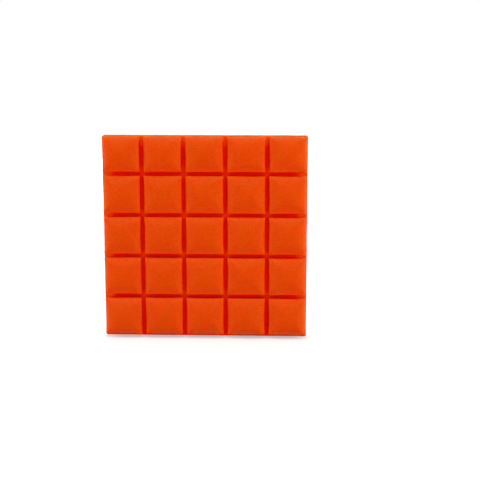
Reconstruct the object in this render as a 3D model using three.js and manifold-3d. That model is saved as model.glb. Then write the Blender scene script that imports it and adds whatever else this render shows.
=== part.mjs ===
// Acoustic foam wall panel: a thin square slab of open-cell foam with rows of square foam blocks
// standing on it. Each block leans outward from a narrow neck to its widest line, then closes with
// a low pillow crown. The grooves between the blocks are therefore wider at the slab than at the
// mouth, and sound that enters them is trapped.
//
// Frame: millimetres, the origin at the middle of the flat back face, +X to the right and +Z up as
// seen from the front. +Y points out of the back, into the wall, so the blocks face -Y.

import * as THREE from "three";
import { mergeVertices } from "three/addons/utils/BufferGeometryUtils.js";
import Module from "manifold-3d";

const wasm = await Module();
wasm.setup();

// The panel's outline and the slab behind the blocks
const panelSide = 250;
const slabDepth = 12;
const cornerRadius = 2;

// The grid of blocks. It is a little wider than the panel and lies higher than the middle by the
// rise. The border blocks are shorter instead: their outer sides stay inside the slab's left and
// right edges by the margin, and inside its top and bottom edges.
const blocksPerSide = 5;
const gridOverhang = 1.6;
const gridRise = 3.7;
const grooveMouth = 4.8;
const sideMargin = 1.4;

// One block: the neck stands in from the widest line, which lies above the slab, and the crown
// rises above the widest line
const neckInset = 2.2;
const undercutHeight = 8;
const crownRise = 10;

// How steeply the crown leaves the widest line, and how far it stays flat round the middle
const shoulderShare = 0.4;
const crownShare = 0.72;

// Fineness of the curves
const crownSteps = 10;
const cornerSteps = 4;

// Worked out from the sizes above
const panelHalf = panelSide / 2;
const groovePitch = (panelSide + 2 * gridOverhang) / blocksPerSide;
const blockSide = groovePitch - grooveMouth;
const gridMiddle = (blocksPerSide - 1) / 2;
const widestDepth = slabDepth + undercutHeight;
const panelDepth = widestDepth + crownRise;

const foam = new THREE.MeshStandardMaterial({
  color: 0xe24609,
  roughness: 0.95,
  metalness: 0,
});

// The slab's outline: a square with slightly rounded corners, centred on the origin
function slabOutline() {
  const straight = panelHalf - cornerRadius;
  const outline = new THREE.Shape();
  outline.moveTo(-straight, -panelHalf);
  outline.lineTo(straight, -panelHalf);
  outline.absarc(straight, -straight, cornerRadius, -Math.PI / 2, 0);
  outline.lineTo(panelHalf, straight);
  outline.absarc(straight, straight, cornerRadius, 0, Math.PI / 2);
  outline.lineTo(-straight, panelHalf);
  outline.absarc(-straight, straight, cornerRadius, Math.PI / 2, Math.PI);
  outline.lineTo(-panelHalf, -straight);
  outline.absarc(-straight, -straight, cornerRadius, Math.PI, Math.PI * 1.5);
  outline.closePath();
  return outline;
}

// The slab grows from the back face's plane towards the front
function slabGeometry() {
  const slab = new THREE.ExtrudeGeometry(slabOutline(), {
    depth: slabDepth,
    bevelEnabled: false,
    curveSegments: cornerSteps,
  });
  return slab.rotateX(Math.PI / 2);
}

// The middle and the side of a row or column of blocks, kept inside the reach on either hand
function laneAt(index, shift, reach) {
  const middle = (index - gridMiddle) * groovePitch + shift;
  const start = Math.max(middle - blockSide / 2, -reach);
  const end = Math.min(middle + blockSide / 2, reach);
  return { middle: (start + end) / 2, side: end - start };
}

// A block's section across a groove, with the distance from the panel's back as the height
function blockSection(side) {
  const widest = side / 2;
  const neck = widest - neckInset;
  const shoulderTop = widestDepth + crownRise * shoulderShare;
  const flatHalf = widest * crownShare;
  const section = new THREE.Shape();
  section.moveTo(-neck, slabDepth);
  section.lineTo(neck, slabDepth);
  section.lineTo(widest, widestDepth);
  section.bezierCurveTo(widest, shoulderTop, flatHalf, panelDepth, 0, panelDepth);
  section.bezierCurveTo(-flatHalf, panelDepth, -widest, shoulderTop, -widest, widestDepth);
  section.closePath();
  return section;
}

// That section drawn out along the panel's height, longer than any block
function sectionPrism(side) {
  const prism = new THREE.ExtrudeGeometry(blockSection(side), {
    depth: groovePitch,
    bevelEnabled: false,
    curveSegments: crownSteps,
  });
  return prism.translate(0, 0, -groovePitch / 2).rotateX(Math.PI);
}

function solidOf(geometry) {
  const bare = geometry.clone().deleteAttribute("normal").deleteAttribute("uv");
  const merged = mergeVertices(bare);
  return new wasm.Manifold(
    new wasm.Mesh({
      numProp: 3,
      vertProperties: merged.attributes.position.array,
      triVerts: new Uint32Array(merged.index.array),
    }),
  );
}

function geometryOf(solid) {
  const mesh = solid.getMesh();
  const geometry = new THREE.BufferGeometry();
  geometry.setAttribute("position", new THREE.BufferAttribute(mesh.vertProperties, mesh.numProp));
  geometry.setIndex(new THREE.BufferAttribute(mesh.triVerts, 1));
  geometry.computeVertexNormals();
  return geometry;
}

// A block is the part that two such prisms share, one along each direction, so that its four
// curved sides meet in creases
function blockGeometry(column, row) {
  const shapedAcross = solidOf(sectionPrism(column.side));
  const shapedUpright = solidOf(sectionPrism(row.side).rotateY(Math.PI / 2));
  const block = shapedAcross.intersect(shapedUpright);
  return geometryOf(block.translate([column.middle, 0, row.middle]));
}

const panel = new THREE.Group();

const slab = new THREE.Mesh(slabGeometry(), foam);
slab.name = "base_slab";
panel.add(slab);

// Row 1 is the top row and column 1 the left one, as seen from the front
for (let row = 0; row < blocksPerSide; row++) {
  const rowLane = laneAt(blocksPerSide - 1 - row, gridRise, panelHalf);
  for (let column = 0; column < blocksPerSide; column++) {
    const columnLane = laneAt(column, 0, panelHalf - sideMargin);
    const block = new THREE.Mesh(blockGeometry(columnLane, rowLane), foam);
    block.name = `block_r${row + 1}_c${column + 1}`;
    panel.add(block);
  }
}

export default panel;
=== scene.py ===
"""Acoustic foam wall panel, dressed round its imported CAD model.

The panel stands upright with its blocks towards the camera. One foam piece takes the place of the
slab and one the place of each block. They are finer meshes of the same forms, with a rounded foot
where a block grows out of the slab, eased creases and the slight unevenness of wire-cut foam.
Lengths are in metres, in the frame of the CAD model.
"""

import math

import bpy
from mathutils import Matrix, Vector, noise


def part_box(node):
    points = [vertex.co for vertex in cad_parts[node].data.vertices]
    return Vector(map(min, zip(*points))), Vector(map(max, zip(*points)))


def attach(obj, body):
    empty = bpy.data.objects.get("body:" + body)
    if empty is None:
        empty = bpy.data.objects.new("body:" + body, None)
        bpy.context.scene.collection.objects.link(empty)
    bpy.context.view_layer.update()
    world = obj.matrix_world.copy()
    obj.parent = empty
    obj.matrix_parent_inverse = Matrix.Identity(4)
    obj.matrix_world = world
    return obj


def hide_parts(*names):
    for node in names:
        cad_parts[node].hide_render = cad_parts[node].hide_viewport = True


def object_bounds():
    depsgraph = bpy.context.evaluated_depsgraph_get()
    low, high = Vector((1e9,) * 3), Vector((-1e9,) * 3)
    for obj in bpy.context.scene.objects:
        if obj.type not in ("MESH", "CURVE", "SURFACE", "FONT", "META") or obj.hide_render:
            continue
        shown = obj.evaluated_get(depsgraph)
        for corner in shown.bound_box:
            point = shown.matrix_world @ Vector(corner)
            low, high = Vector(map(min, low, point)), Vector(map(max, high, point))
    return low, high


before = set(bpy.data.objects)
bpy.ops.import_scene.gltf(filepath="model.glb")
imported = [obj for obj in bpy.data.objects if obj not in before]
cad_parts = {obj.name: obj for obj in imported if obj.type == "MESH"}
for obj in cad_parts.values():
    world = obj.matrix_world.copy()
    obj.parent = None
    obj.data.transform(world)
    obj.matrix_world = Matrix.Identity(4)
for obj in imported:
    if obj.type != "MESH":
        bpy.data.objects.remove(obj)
cad_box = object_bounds()

MM = 0.001

# The photograph's camera: upright, to the right of the panel and looking slightly down on it
PHOTO_PIXELS = 480
FOCAL_PIXELS = 1056
SENSOR_WIDTH = 36
CAMERA_PLACE = (88.1 * MM, -1285.9 * MM, 245.6 * MM)
CAMERA_TARGET = (43.1 * MM, -20.0 * MM, -1.4 * MM)
CAMERA_CLIP = (0.01, 50)

# The soft lights round the panel: name, place, width, height and power
LIGHT_TARGET = (0, 0, 0)
SOFTBOXES = (
    ("front_softbox", (0.27, -2.2, 0.43), 0.35, 0.35, 32),
    ("overhead_softbox", (0, -0.14, 0.9), 1.0, 0.4, 3.2),
    ("left_softbox", (-1.2, -0.2, 0.3), 0.5, 0.8, 9.2),
    ("right_softbox", (1.2, -0.25, 0.3), 0.5, 0.8, 8.8),
    ("back_softbox", (-0.3, 1.9, 0.8), 1.0, 0.8, 30),
)
ROOM_STRENGTH = 0.16

# The panel's outline and the slab behind the blocks, from the CAD model
PANEL_HALF = cad_box[1].x
SLAB_DEPTH = -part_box("base_slab")[0].y

# The grid of blocks and a block's form, as in the CAD model
BLOCKS_PER_SIDE = 5
GROOVE_PITCH = 50.64 * MM
GRID_RISE = 3.7 * MM
NECK_INSET = 2.2 * MM
UNDERCUT_HEIGHT = 8 * MM
SHOULDER_SHARE = 0.4
CROWN_SHARE = 0.72

# What the finer mesh adds to it: a rounded foot, eased creases and corners that are a little fuller
# than the sides, so that the grooves narrow towards their crossings
FOOT_RADIUS = 1.8 * MM
FOOT_SINK = 0.3 * MM
CREASE_RADIUS = 0.9 * MM
CREASE_FADE = 0.8
CREASE_LIMIT = 0.9
CORNER_FULLNESS = 0.35 * MM
CORNER_SHARE = 0.95

# The slab's corners and its nearly sharp cut edges
SLAB_CORNER_RADIUS = 2 * MM
SLAB_EDGE_RADIUS = 0.3 * MM

# Wire-cut foam is never quite even: how far it strays, over what length, and in how many finer waves
UNEVEN_HEIGHT = 0.22 * MM
UNEVEN_LENGTH = 21 * MM
UNEVEN_FADE = 1.0
UNEVEN_STEP = 2.0
UNEVEN_WAVES = 3

# Fineness of the meshes
SIDE_POINTS = 20
CORNER_POINTS = 6
FOOT_RINGS = 4
UNDERCUT_RINGS = 5
CROWN_RINGS = 20
SLAB_SIDE_POINTS = 80
SLAB_FACE_RINGS = 18
SLAB_EDGE_RINGS = 3
SLAB_SIDE_RINGS = 6

# How far a cut outer edge looks frayed
FRAY_REACH = 1.2 * MM
BORDER_REACH = 1.5 * MM

# Where a groove gets painted red bounce light and where it gets painted shade. Each pair of lengths is
# where the effect is nothing and where it is whole: heights above the slab, the depth into the slab's
# face, and the distance from the groove's middle line
PAINTED_BOUNCE_WALL = (16.5 * MM, 9.5 * MM)
PAINTED_SHADE_WALL = (11.2 * MM, 8 * MM)
SLAB_FACE = (-1.5 * MM, -0.75 * MM)
GROOVE_REACH = (9 * MM, 6 * MM)

# The wall below a groove catches light from above, from this height up: it gets less painted shade
# and less painted red bounce light
TOP_WALL_REACH = (8 * MM, 11.5 * MM)
TOP_WALL_LIGHT = 0.7
TOP_WALL_PALING = 0.35

# Light also reaches in from a groove's ends at the sides and at the top, so the painted shade begins
# only further in, and it reaches into a crossing, where the painted shade is weaker. At its very ends
# a groove gets less painted red bounce light
PAINTED_SHADE_ACROSS = (4 * MM, 13 * MM)
PAINTED_SHADE_UPRIGHT = (3 * MM, 12 * MM)
CROSSING_REACH = (6 * MM, 2 * MM)
CROSSING_LIGHT = 0.4
END_REACH = (9 * MM, 2 * MM)
END_PALING = 0.25

# Foam scatters light inside, so a steep wall in a groove shades as if it leaned towards the front,
# from this far inside the panel's outline
LEAN_MARGIN = (3.7 * MM, 6.5 * MM)
GROOVE_LEAN = 0.95

# The foam's cut face: its cells and pores, the lines of the cutting wire, and the deeper patches
CELLS_PER_METRE = 900
CELL_DEPTH = 0.4 * MM
CELL_WOBBLE = 0.4 * MM
CELL_WOBBLES_PER_METRE = 900
CELL_WOBBLE_DETAIL = 1
STRUT_EDGE = (0.03, 0.2)
OPEN_CHANCE = (0.2, 0.9)
PORE_SHARE = 0.4
PORE_RIM = (0.16, 0.26)
PORE_RARITY = 0.82
WIRE_MARKS_PER_METRE = 700
WIRE_MARK_DETAIL = 2
WIRE_MARK_SHARE = 0.5
WIRE_STRETCH = 0.03
PATCHES_PER_METRE = 45
PATCH_DETAIL = 3
PATCH_EDGE = (0.35, 0.65)

# How strongly each thing shows in the foam's colour. A side facing up or sideways gets a painted
# highlight
MOTTLE_SHARE = 0.3
PAINTED_HIGHLIGHT_SHARE = 0.52
SIDE_HIGHLIGHT_SHARE = 0.45
# Painted shade and orange bounce light: an underside is a redder orange
PAINTED_UNDERSIDE_SHARE = 0.6
STRUT_SHARE = 0.6
FRAY_SHARE = 0.5
# The painted red bounce light in a groove grows with this power of its mark
PAINTED_BOUNCE_POWER = 2

# How the foam takes light
CELL_ROUGHNESS = 1
STRUT_ROUGHNESS = 0.88
RELIEF_STRENGTH = 0.5
SPECULAR_LEVEL = 0.01
SHEEN_WEIGHT = 0.45
SHEEN_ROUGHNESS = 0.4
SCATTER_WEIGHT = 0.8
SCATTER_LENGTH = 3 * MM
SCATTER_BY_COLOUR = (1.0, 0.12, 0.05)

# Colours, as linear light
FOAM_FACE = (0.68, 0.067, 0.0003)
FOAM_DEEPER = (0.65, 0.06, 0.0002)
# Painted highlight: a paler orange on a side that faces up or sideways
FOAM_PAINTED_HIGHLIGHT = (0.76, 0.115, 0.034)
# Painted shade and orange bounce light on an underside
FOAM_PAINTED_UNDERSIDE_SHADE = (0.72, 0.022, 0.0)
FOAM_STRUT = (0.75, 0.098, 0.0015)
# Painted red bounce light in a groove
FOAM_PAINTED_BOUNCE = (1.0, 0.085, 0.002)
# Painted shade deep in a groove
FOAM_PAINTED_SHADE = (1.0, 0.006, 0.0)
WINDOW_SHADE = (0.85, 0.72, 0.6)
SHEEN_TINT = (1.0, 0.5, 0.25)
ROOM_WHITE = (1.0, 1.0, 1.0)
FLOOR_WHITE = (0.8, 0.8, 0.8)
FLOOR_DIM = (0.58, 0.2, 0.08)

# The floor: its size, and the white that it adds for the camera, less near the panel's shadow
FLOOR_HALF = 4
FLOOR_ROUGHNESS = 0.9
FLOOR_GLOW_NEAR = 0.3
FLOOR_GLOW_REACH = (0.45, 0.9)


def placed(name, content):
    """A new object in the scene, with its content."""
    item = bpy.data.objects.new(name, content)
    bpy.context.scene.collection.objects.link(item)
    return item


def facing(place, target):
    """The turn of a camera or a lamp that looks from a place at a target."""
    return (Vector(target) - Vector(place)).to_track_quat("-Z", "Y")


def rounded_ring(low, high, radius, side_points, corner_points):
    """Points round a rectangle with rounded corners, as (x, z) pairs from the lower right corner."""
    corners = [
        (high[0] - radius, low[1] + radius, -90),
        (high[0] - radius, high[1] - radius, 0),
        (low[0] + radius, high[1] - radius, 90),
        (low[0] + radius, low[1] + radius, 180),
    ]
    arcs = []
    for centre_x, centre_z, start in corners:
        arc = []
        for step in range(corner_points + 1):
            angle = math.radians(start + 90 * step / corner_points)
            arc.append((centre_x + radius * math.cos(angle), centre_z + radius * math.sin(angle)))
        arcs.append(arc)
    ring = []
    for index, arc in enumerate(arcs):
        ring.extend(arc)
        end = arc[-1]
        start = arcs[(index + 1) % len(arcs)][0]
        for step in range(1, side_points):
            share = step / side_points
            ring.append((end[0] + (start[0] - end[0]) * share, end[1] + (start[1] - end[1]) * share))
    return ring


def stacked_mesh(name, rings):
    """A closed mesh through equal-length rings of points, with a centre point at either end."""
    points = [point for ring in rings for point in ring]
    count = len(rings[0])
    faces = []
    for level in range(len(rings) - 1):
        low = level * count
        high = low + count
        for index in range(count):
            following = (index + 1) % count
            faces.append((low + index, low + following, high + following, high + index))
    for level, order in ((0, -1), (len(rings) - 1, 1)):
        middle = sum((Vector(point) for point in rings[level]), Vector()) / count
        points.append(middle)
        start = level * count
        for index in range(count):
            following = (index + 1) % count
            pair = (start + index, start + following)
            faces.append((*pair[::order], len(points) - 1))
    mesh = bpy.data.meshes.new(name)
    mesh.from_pydata([tuple(point) for point in points], [], faces)
    mesh.validate()
    mesh.update()
    mesh.shade_smooth()
    return mesh


def unevenness(point):
    """How far the cut strays from its form at a point."""
    wave = noise.fractal(Vector(point) / UNEVEN_LENGTH, UNEVEN_FADE, UNEVEN_STEP, UNEVEN_WAVES)
    return wave * UNEVEN_HEIGHT


def make_uneven(mesh):
    """Moves the mesh's points along their normals by the unevenness."""
    moves = [vertex.normal * unevenness(vertex.co) for vertex in mesh.vertices]
    for vertex, move in zip(mesh.vertices, moves):
        vertex.co += move
    mesh.update()


def crown_width(t, share):
    """The crown's width at a step of its curve, as a share of the block's."""
    return (1 - t) ** 3 + 3 * t * (1 - t) ** 2 + 3 * t**2 * (1 - t) * share


def block_section(depth):
    """A block's levels from its foot to its crown, as (side share, corner share, inset, fullness, rise).

    A level's reach at the middle of a side is the block's half width times the side share, less the
    inset. At a corner it is the half width times the corner share, less the inset, plus the fullness.
    """
    slope = NECK_INSET / UNDERCUT_HEIGHT
    section = [(1, 1, NECK_INSET - FOOT_RADIUS, 0, -FOOT_SINK)]
    for step in range(FOOT_RINGS + 1):
        angle = math.pi / 2 * step / FOOT_RINGS
        rise = FOOT_RADIUS * (1 - math.cos(angle))
        inset = NECK_INSET - FOOT_RADIUS * (1 - math.sin(angle)) - slope * rise
        section.append((1, 1, inset, 0, rise))
    for step in range(1, UNDERCUT_RINGS):
        share = step / UNDERCUT_RINGS
        rise = FOOT_RADIUS + (UNDERCUT_HEIGHT - FOOT_RADIUS) * share
        section.append((1, 1, NECK_INSET - slope * rise, CORNER_FULLNESS * share, rise))
    crown = depth - UNDERCUT_HEIGHT
    for step in range(CROWN_RINGS):
        t = step / CROWN_RINGS
        side = crown_width(t, CROWN_SHARE)
        corner = crown_width(t, CORNER_SHARE)
        rise = 3 * t * (1 - t) ** 2 * SHOULDER_SHARE + 3 * t**2 * (1 - t) + t**3
        section.append((side, corner, 0, CORNER_FULLNESS * (1 - t), UNDERCUT_HEIGHT + crown * rise))
    return section


def block_ring(low, high, level):
    """One level of a block: a rounded rectangle with its sides bowed inward between its corners."""
    side_share, corner_share, inset, fullness, rise = level
    centre = (low + high) / 2
    half = (high - low) / 2
    sides = []
    corners = []
    for axis in (0, 2):
        side = half[axis] * side_share - inset
        corner = half[axis] * corner_share - inset + fullness
        for end in (low, high):
            outermost = abs(end[axis]) > PANEL_HALF - GROOVE_PITCH / 2
            sides.append(side)
            corners.append(min(corner, half[axis]) if outermost else corner)
    left, right, bottom, top = corners
    bow_left, bow_right, bow_bottom, bow_top = [max(c - s, 0) for c, s in zip(corners, sides)]
    softer = CREASE_FADE * (half.x + half.z) / 2 * (1 - side_share)
    radius = min(CREASE_RADIUS + softer, CREASE_LIMIT * min(corners))
    ring = []
    for x, z in rounded_ring((-left, -bottom), (right, top), radius, SIDE_POINTS, CORNER_POINTS):
        x_share = x / (right if x > 0 else left)
        z_share = z / (top if z > 0 else bottom)
        bow_x = (bow_right if x > 0 else bow_left) * x_share * (1 - z_share**2)
        bow_z = (bow_top if z > 0 else bow_bottom) * z_share * (1 - x_share**2)
        ring.append((centre.x + x - bow_x, high.y - rise, centre.z + z - bow_z))
    return ring


def block_mesh(name, low, high):
    """One block between the corners of its CAD box. The box's high Y is the slab's front."""
    rings = [block_ring(low, high, level) for level in block_section(high.y - low.y)]
    mesh = stacked_mesh(name, rings)
    make_uneven(mesh)
    return mesh


def slab_mesh(name, low, high):
    """The slab with its edges eased, from the middle of its back round to the middle of its front."""
    levels = []
    for step in range(1, SLAB_FACE_RINGS):
        share = 1 - step / SLAB_FACE_RINGS
        levels.append((SLAB_EDGE_RADIUS + (PANEL_HALF - SLAB_EDGE_RADIUS) * share, high.y))
    for step in range(SLAB_EDGE_RINGS + 1):
        angle = math.pi / 2 * step / SLAB_EDGE_RINGS
        inset = SLAB_EDGE_RADIUS * (1 - math.sin(angle))
        levels.append((inset, high.y - SLAB_EDGE_RADIUS * (1 - math.cos(angle))))
    for step in range(1, SLAB_SIDE_RINGS):
        share = step / SLAB_SIDE_RINGS
        levels.append((0, high.y - SLAB_EDGE_RADIUS + (low.y - high.y + 2 * SLAB_EDGE_RADIUS) * share))
    for step in range(SLAB_EDGE_RINGS + 1):
        angle = math.pi / 2 * step / SLAB_EDGE_RINGS
        inset = SLAB_EDGE_RADIUS * (1 - math.cos(angle))
        levels.append((inset, low.y + SLAB_EDGE_RADIUS * (1 - math.sin(angle))))
    for step in range(1, SLAB_FACE_RINGS):
        share = step / SLAB_FACE_RINGS
        levels.append((SLAB_EDGE_RADIUS + (PANEL_HALF - SLAB_EDGE_RADIUS) * share, low.y))
    rings = []
    for inset, y in levels:
        half = PANEL_HALF - inset
        radius = min(max(SLAB_CORNER_RADIUS - inset, SLAB_EDGE_RADIUS), half / 2)
        outline = rounded_ring((-half, -half), (half, half), radius, SLAB_SIDE_POINTS, CORNER_POINTS)
        rings.append([(x, y, z) for x, z in outline])
    mesh = stacked_mesh(name, rings)
    make_uneven(mesh)
    return mesh


def smooth_share(value, start, end):
    """0 at start and 1 at end, with a smooth change between them."""
    share = min(max((value - start) / (end - start), 0), 1)
    return share * share * (3 - 2 * share)


def groove_distance(value, offset):
    """How far a coordinate lies from the nearest groove's middle line."""
    middle = BLOCKS_PER_SIDE / 2
    lines = [offset + (index - middle) * GROOVE_PITCH for index in range(1, BLOCKS_PER_SIDE)]
    return min(abs(value - line) for line in lines)


def edge_share(x, rise, z):
    """1 on an outer edge of the slab or a border block, falling to 0 beside it."""
    from_outline = PANEL_HALF - max(abs(x), abs(z))
    from_edge = min(abs(rise), abs(rise - UNDERCUT_HEIGHT), abs(rise + SLAB_DEPTH))
    return smooth_share(max(from_edge, from_outline - BORDER_REACH), FRAY_REACH, 0)


def surface_marks(point, normal):
    """Marks at a point: painted groove light and shade, a frayed edge, painted highlight and underside
    shade.
    """
    x, y, z = point
    rise = -SLAB_DEPTH - y
    from_outline = PANEL_HALF - max(abs(x), abs(z))
    distances = (groove_distance(x, 0), groove_distance(z, GRID_RISE))
    inside = smooth_share(rise, *SLAB_FACE) * smooth_share(min(distances), *GROOVE_REACH)
    caught = smooth_share(rise, *TOP_WALL_REACH) * max(normal.z, 0)
    # Painted shade deep in a groove, less at its lit ends, its crossings and the wall below it
    painted_shade = inside * smooth_share(rise, *PAINTED_SHADE_WALL) * (1 - TOP_WALL_LIGHT * caught)
    painted_shade *= smooth_share(PANEL_HALF - abs(x), *PAINTED_SHADE_ACROSS)
    painted_shade *= smooth_share(PANEL_HALF - z, *PAINTED_SHADE_UPRIGHT)
    painted_shade *= 1 - CROSSING_LIGHT * smooth_share(max(distances), *CROSSING_REACH)
    # Painted red bounce light in a groove, weaker where the wall below catches light from above
    painted_bounce = inside * smooth_share(rise, *PAINTED_BOUNCE_WALL) * (1 - TOP_WALL_PALING * caught)
    return {
        "painted_groove_bounce": painted_bounce * (1 - END_PALING * smooth_share(from_outline, *END_REACH)),
        "painted_groove_shade": painted_shade,
        "groove_lean": painted_bounce * smooth_share(from_outline, *LEAN_MARGIN),
        "frayed_edge": edge_share(x, rise, z),
        # Painted highlight on a side that faces up or sideways
        "painted_highlight": max(normal.z, 0) + SIDE_HIGHLIGHT_SHARE * abs(normal.x),
        # Painted shade and orange bounce light on an underside
        "painted_underside_shade": max(-normal.z, 0),
    }


def mark_surface(mesh):
    """Keeps the surface's marks on the mesh's points, for the material to read."""
    marks = [surface_marks(vertex.co, vertex.normal) for vertex in mesh.vertices]
    for name in marks[0]:
        values = [mark[name] for mark in marks]
        mesh.attributes.new(name, "FLOAT", "POINT").data.foreach_set("value", values)


def new_piece(name, mesh, material, node):
    """A foam piece that stands for a CAD node and rides with the panel."""
    piece = placed(name, mesh)
    mesh.materials.append(material)
    mark_surface(mesh)
    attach(piece, "root")
    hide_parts(node)
    return piece


def node_at(tree, kind, **settings):
    """A new node of a kind in a tree, with its settings."""
    node = tree.nodes.new(kind)
    for key, value in settings.items():
        setattr(node, key, value)
    return node


def feed(tree, socket, value):
    """Links another node's socket to this one, or sets this one to a number, colour or vector."""
    if isinstance(value, bpy.types.NodeSocket):
        tree.links.new(value, socket)
    else:
        socket.default_value = value


def calculated(tree, operation, first, second):
    """What a Math node makes of two values. Each is a number or a socket."""
    node = node_at(tree, "ShaderNodeMath", operation=operation)
    feed(tree, node.inputs[0], first)
    feed(tree, node.inputs[1], second)
    return node.outputs[0]


def smooth_range(tree, value, start, end, low=0, high=1):
    """Low where the value is at start and high where it is at end, with a smooth change between."""
    node = node_at(tree, "ShaderNodeMapRange", interpolation_type="SMOOTHSTEP")
    feed(tree, node.inputs["Value"], value)
    feed(tree, node.inputs["From Min"], start)
    feed(tree, node.inputs["From Max"], end)
    feed(tree, node.inputs["To Min"], low)
    feed(tree, node.inputs["To Max"], high)
    return node.outputs["Result"]


def mixed(tree, factor, below, above, blend="MIX"):
    """Lays the colour above over the one below, by a factor. A colour is a tuple or a socket."""
    mix = node_at(tree, "ShaderNodeMix", data_type="RGBA", blend_type=blend)
    feed(tree, mix.inputs["Factor"], factor)
    for name, colour in (("A", below), ("B", above)):
        feed(tree, mix.inputs[name], (*colour, 1) if isinstance(colour, tuple) else colour)
    return mix.outputs["Result"]


def noise_at(tree, place, scale, detail):
    """A noise texture at a place."""
    texture = node_at(tree, "ShaderNodeTexNoise")
    feed(tree, texture.inputs["Vector"], place)
    feed(tree, texture.inputs["Scale"], scale)
    feed(tree, texture.inputs["Detail"], detail)
    return texture


def cells_at(tree, place, scale, feature="F1"):
    """A texture of cells at a place."""
    texture = node_at(tree, "ShaderNodeTexVoronoi", feature=feature)
    feed(tree, texture.inputs["Vector"], place)
    feed(tree, texture.inputs["Scale"], scale)
    return texture


def cell_chance(tree, texture):
    """A random value from 0 to 1 that is the same all over a cell."""
    parts = node_at(tree, "ShaderNodeSeparateColor")
    feed(tree, parts.inputs["Color"], texture.outputs["Color"])
    return parts.outputs["Red"]


def group_with(name, inputs, outputs):
    """An empty node group with its sockets, and its inner input and output nodes."""
    group = bpy.data.node_groups.new(name, "ShaderNodeTree")
    for socket, kind in inputs:
        group.interface.new_socket(socket, in_out="INPUT", socket_type=kind)
    for socket in outputs:
        group.interface.new_socket(socket, in_out="OUTPUT", socket_type="NodeSocketFloat")
    return group, node_at(group, "NodeGroupInput"), node_at(group, "NodeGroupOutput")


def placed_group(tree, place, group, per_metre):
    """A node group in the material, with its place and the count per metre of what it draws."""
    node = node_at(tree, "ShaderNodeGroup")
    node.node_tree = group
    feed(tree, node.inputs["Place"], place)
    feed(tree, node.inputs["Per metre"], per_metre)
    return node


def open_cells_group():
    """The cut face of open-cell foam.

    Struts stand round the cells. Most cells are open, some are closed by a thin skin, and a few
    are large pores.
    """
    group, enter, leave = group_with(
        "open_cells",
        [("Place", "NodeSocketVector"), ("Per metre", "NodeSocketFloat")],
        ["Strut", "Window", "Height"],
    )
    place = enter.outputs["Place"]
    per_metre = enter.outputs["Per metre"]
    wobble = noise_at(group, place, CELL_WOBBLES_PER_METRE, CELL_WOBBLE_DETAIL)
    bend = node_at(group, "ShaderNodeVectorMath", operation="MULTIPLY_ADD")
    feed(group, bend.inputs[0], wobble.outputs["Color"])
    feed(group, bend.inputs[1], (CELL_WOBBLE, CELL_WOBBLE, CELL_WOBBLE))
    feed(group, bend.inputs[2], place)
    bent = bend.outputs["Vector"]

    edges = cells_at(group, bent, per_metre, "DISTANCE_TO_EDGE")
    strut = smooth_range(group, edges.outputs["Distance"], *STRUT_EDGE, 1, 0)
    opened = smooth_range(group, cell_chance(group, cells_at(group, bent, per_metre)), *OPEN_CHANCE)
    window = calculated(group, "MULTIPLY", calculated(group, "SUBTRACT", 1, strut), opened)

    pores = cells_at(group, bent, calculated(group, "MULTIPLY", per_metre, PORE_SHARE))
    pore_round = smooth_range(group, pores.outputs["Distance"], *PORE_RIM, 1, 0)
    pore_here = calculated(group, "GREATER_THAN", cell_chance(group, pores), PORE_RARITY)
    pore = calculated(group, "MULTIPLY", pore_round, pore_here)

    hollow = calculated(group, "MAXIMUM", window, pore)
    feed(group, leave.inputs["Strut"], strut)
    feed(group, leave.inputs["Window"], hollow)
    feed(group, leave.inputs["Height"], calculated(group, "SUBTRACT", strut, hollow))
    return group


def wire_marks_group():
    """The faint lines that the cutting wire leaves: it lay along the rows, then along the columns."""
    group, enter, leave = group_with(
        "wire_marks",
        [("Place", "NodeSocketVector"), ("Per metre", "NodeSocketFloat")],
        ["Mark"],
    )
    marks = []
    for squeeze in ((WIRE_STRETCH, 1, 1), (1, 1, WIRE_STRETCH)):
        drawn = node_at(group, "ShaderNodeVectorMath", operation="MULTIPLY")
        feed(group, drawn.inputs[0], enter.outputs["Place"])
        feed(group, drawn.inputs[1], squeeze)
        lines = noise_at(group, drawn.outputs["Vector"], enter.outputs["Per metre"], WIRE_MARK_DETAIL)
        marks.append(lines.outputs["Fac"])
    feed(group, leave.inputs["Mark"], calculated(group, "ADD", *marks))
    return group


def mottle_group():
    """Soft patches where the foam's colour came out a little deeper."""
    group, enter, leave = group_with(
        "mottle",
        [("Place", "NodeSocketVector"), ("Per metre", "NodeSocketFloat")],
        ["Deeper"],
    )
    patches = noise_at(group, enter.outputs["Place"], enter.outputs["Per metre"], PATCH_DETAIL)
    feed(group, leave.inputs["Deeper"], smooth_range(group, patches.outputs["Fac"], *PATCH_EDGE))
    return group


def surface_mark(tree, name):
    """One of the marks that are kept on the foam's surface."""
    return node_at(tree, "ShaderNodeAttribute", attribute_name=name).outputs["Fac"]


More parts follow.
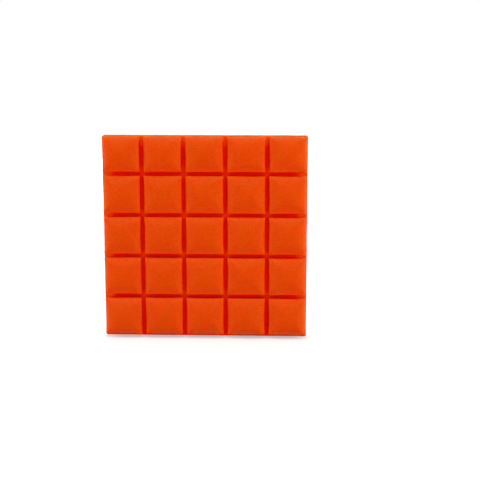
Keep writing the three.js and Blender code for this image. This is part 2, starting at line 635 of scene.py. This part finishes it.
def foam_colour(tree, place, cells):
    """The foam's colour, from its plain face up to the painted red bounce light and shade in the
    grooves.
    """
    patches = placed_group(tree, place, mottle_group(), PATCHES_PER_METRE)
    layers = (
        (patches.outputs["Deeper"], MOTTLE_SHARE, FOAM_DEEPER),
        # Painted highlight on a side that faces up or sideways
        (surface_mark(tree, "painted_highlight"), PAINTED_HIGHLIGHT_SHARE, FOAM_PAINTED_HIGHLIGHT),
        # Painted shade and orange bounce light on an underside
        (surface_mark(tree, "painted_underside_shade"), PAINTED_UNDERSIDE_SHARE, FOAM_PAINTED_UNDERSIDE_SHADE),
        (cells.outputs["Strut"], STRUT_SHARE, FOAM_STRUT),
        (surface_mark(tree, "frayed_edge"), FRAY_SHARE, FOAM_STRUT),
    )
    colour = FOAM_FACE
    for mask, share, tone in layers:
        colour = mixed(tree, calculated(tree, "MULTIPLY", mask, share), colour, tone)
    # Painted red bounce light in the grooves
    bounce_share = calculated(tree, "POWER", surface_mark(tree, "painted_groove_bounce"), PAINTED_BOUNCE_POWER)
    colour = mixed(tree, bounce_share, colour, FOAM_PAINTED_BOUNCE)
    # Painted shade deep in the grooves
    colour = mixed(tree, surface_mark(tree, "painted_groove_shade"), colour, FOAM_PAINTED_SHADE)
    return mixed(tree, cells.outputs["Window"], colour, WINDOW_SHADE, "MULTIPLY")


def open_normal(tree):
    """The surface's normal, leaned towards the panel's front on the walls of a groove."""
    front = node_at(tree, "ShaderNodeVectorTransform", vector_type="NORMAL")
    front.convert_from = "OBJECT"
    front.convert_to = "WORLD"
    feed(tree, front.inputs["Vector"], (0, -1, 0))
    leaned = node_at(tree, "ShaderNodeMix", data_type="VECTOR")
    lean = calculated(tree, "MULTIPLY", surface_mark(tree, "groove_lean"), GROOVE_LEAN)
    feed(tree, leaned.inputs["Factor"], lean)
    feed(tree, leaned.inputs["A"], node_at(tree, "ShaderNodeNewGeometry").outputs["Normal"])
    feed(tree, leaned.inputs["B"], front.outputs["Vector"])
    unit = node_at(tree, "ShaderNodeVectorMath", operation="NORMALIZE")
    feed(tree, unit.inputs[0], leaned.outputs["Result"])
    return unit.outputs["Vector"]


def foam_relief(tree, place, cells):
    """The normal over the foam's cells and wire marks."""
    marks = placed_group(tree, place, wire_marks_group(), WIRE_MARKS_PER_METRE)
    lines = calculated(tree, "MULTIPLY", marks.outputs["Mark"], WIRE_MARK_SHARE)
    bump = node_at(tree, "ShaderNodeBump")
    feed(tree, bump.inputs["Strength"], RELIEF_STRENGTH)
    feed(tree, bump.inputs["Distance"], CELL_DEPTH)
    feed(tree, bump.inputs["Height"], calculated(tree, "ADD", cells.outputs["Height"], lines))
    feed(tree, bump.inputs["Normal"], open_normal(tree))
    return bump.outputs["Normal"]


def foam_material(name):
    """Matt open-cell foam that scatters light inside."""
    material = bpy.data.materials.new(name)
    material.use_nodes = True
    tree = material.node_tree
    shader = tree.nodes["Principled BSDF"]
    shader.inputs["Specular IOR Level"].default_value = SPECULAR_LEVEL
    shader.inputs["Sheen Weight"].default_value = SHEEN_WEIGHT
    shader.inputs["Sheen Roughness"].default_value = SHEEN_ROUGHNESS
    shader.inputs["Sheen Tint"].default_value = (*SHEEN_TINT, 1)
    shader.inputs["Subsurface Weight"].default_value = SCATTER_WEIGHT
    shader.inputs["Subsurface Radius"].default_value = SCATTER_BY_COLOUR
    shader.inputs["Subsurface Scale"].default_value = SCATTER_LENGTH
    place = node_at(tree, "ShaderNodeTexCoord").outputs["Object"]
    cells = placed_group(tree, place, open_cells_group(), CELLS_PER_METRE)
    rough = node_at(tree, "ShaderNodeMapRange")
    feed(tree, rough.inputs["Value"], cells.outputs["Strut"])
    feed(tree, rough.inputs["To Min"], CELL_ROUGHNESS)
    feed(tree, rough.inputs["To Max"], STRUT_ROUGHNESS)
    feed(tree, shader.inputs["Base Color"], foam_colour(tree, place, cells))
    feed(tree, shader.inputs["Roughness"], rough.outputs["Result"])
    feed(tree, shader.inputs["Normal"], foam_relief(tree, place, cells))
    return material


def seen_directly(tree):
    """1 for what the camera sees, also in a reflection or through something clear."""
    rays = node_at(tree, "ShaderNodeLightPath")
    seen = rays.outputs["Is Camera Ray"]
    for name in ("Is Glossy Ray", "Is Transmission Ray"):
        seen = calculated(tree, "MAXIMUM", seen, rays.outputs[name])
    return seen


def floor_material(name):
    """White floor: it keeps the shadow, and reads as white to the camera where no shadow falls.

    Other rays find it darker, so that it doesn't light the panel from below.
    """
    material = bpy.data.materials.new(name)
    material.use_nodes = True
    tree = material.node_tree
    direct = seen_directly(tree)
    shader = tree.nodes["Principled BSDF"]
    shader.inputs["Roughness"].default_value = FLOOR_ROUGHNESS
    shader.inputs["Specular IOR Level"].default_value = 0
    feed(tree, shader.inputs["Base Color"], mixed(tree, direct, FLOOR_DIM, FLOOR_WHITE))
    distance = node_at(tree, "ShaderNodeVectorMath", operation="LENGTH")
    feed(tree, distance.inputs[0], node_at(tree, "ShaderNodeNewGeometry").outputs["Position"])
    white = smooth_range(tree, distance.outputs["Value"], *FLOOR_GLOW_REACH, FLOOR_GLOW_NEAR, 1)
    glow = node_at(tree, "ShaderNodeEmission")
    feed(tree, glow.inputs["Strength"], calculated(tree, "MULTIPLY", direct, white))
    both = node_at(tree, "ShaderNodeAddShader")
    feed(tree, both.inputs[0], shader.outputs[0])
    feed(tree, both.inputs[1], glow.outputs[0])
    feed(tree, tree.nodes["Material Output"].inputs["Surface"], both.outputs[0])
    return material


def make_floor(level):
    """A wide floor at the height of the panel's lower edge."""
    low, high = -FLOOR_HALF, FLOOR_HALF
    mesh = bpy.data.meshes.new("floor")
    corners = [(low, low, level), (high, low, level), (high, high, level), (low, high, level)]
    mesh.from_pydata(corners, [], [(0, 1, 2, 3)])
    mesh.materials.append(floor_material("floor_white"))
    placed("floor", mesh)


def make_world():
    """A dim white room that the camera sees as plain white."""
    world = bpy.data.worlds.new("white_room")
    bpy.context.scene.world = world
    world.use_nodes = True
    tree = world.node_tree
    room = tree.nodes["Background"]
    seen = node_at(tree, "ShaderNodeBackground")
    for background, strength in ((room, ROOM_STRENGTH), (seen, 1)):
        background.inputs["Color"].default_value = (*ROOM_WHITE, 1)
        background.inputs["Strength"].default_value = strength
    choose = node_at(tree, "ShaderNodeMixShader")
    feed(tree, choose.inputs[0], seen_directly(tree))
    feed(tree, choose.inputs[1], room.outputs[0])
    feed(tree, choose.inputs[2], seen.outputs[0])
    feed(tree, tree.nodes["World Output"].inputs["Surface"], choose.outputs[0])


def make_softbox(name, place, width, height, power):
    """A soft rectangular light that faces the panel."""
    light = bpy.data.lights.new(name, "AREA")
    light.shape = "RECTANGLE"
    light.size = width
    light.size_y = height
    light.energy = power
    lamp = placed(name, light)
    lamp.location = place
    lamp.rotation_mode = "QUATERNION"
    lamp.rotation_quaternion = facing(place, LIGHT_TARGET)


def make_camera():
    """The camera at the photograph's place."""
    lens = bpy.data.cameras.new("camera")
    lens.sensor_width = SENSOR_WIDTH
    lens.lens = FOCAL_PIXELS / PHOTO_PIXELS * SENSOR_WIDTH
    lens.clip_start, lens.clip_end = CAMERA_CLIP
    camera = placed("camera", lens)
    camera.location = CAMERA_PLACE
    camera.rotation_mode = "QUATERNION"
    camera.rotation_quaternion = facing(CAMERA_PLACE, CAMERA_TARGET)
    bpy.context.scene.camera = camera


bpy.context.scene.view_settings.view_transform = "Standard"
make_camera()
make_world()
make_floor(cad_box[0].z)
for softbox in SOFTBOXES:
    make_softbox(*softbox)

foam = foam_material("orange_foam")

new_piece("slab_foam", slab_mesh("slab_foam", *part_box("base_slab")), foam, "base_slab")
for node in sorted(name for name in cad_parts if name.startswith("block_")):
    piece_name = node.replace("block", "block_foam")
    new_piece(piece_name, block_mesh(piece_name, *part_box(node)), foam, node)
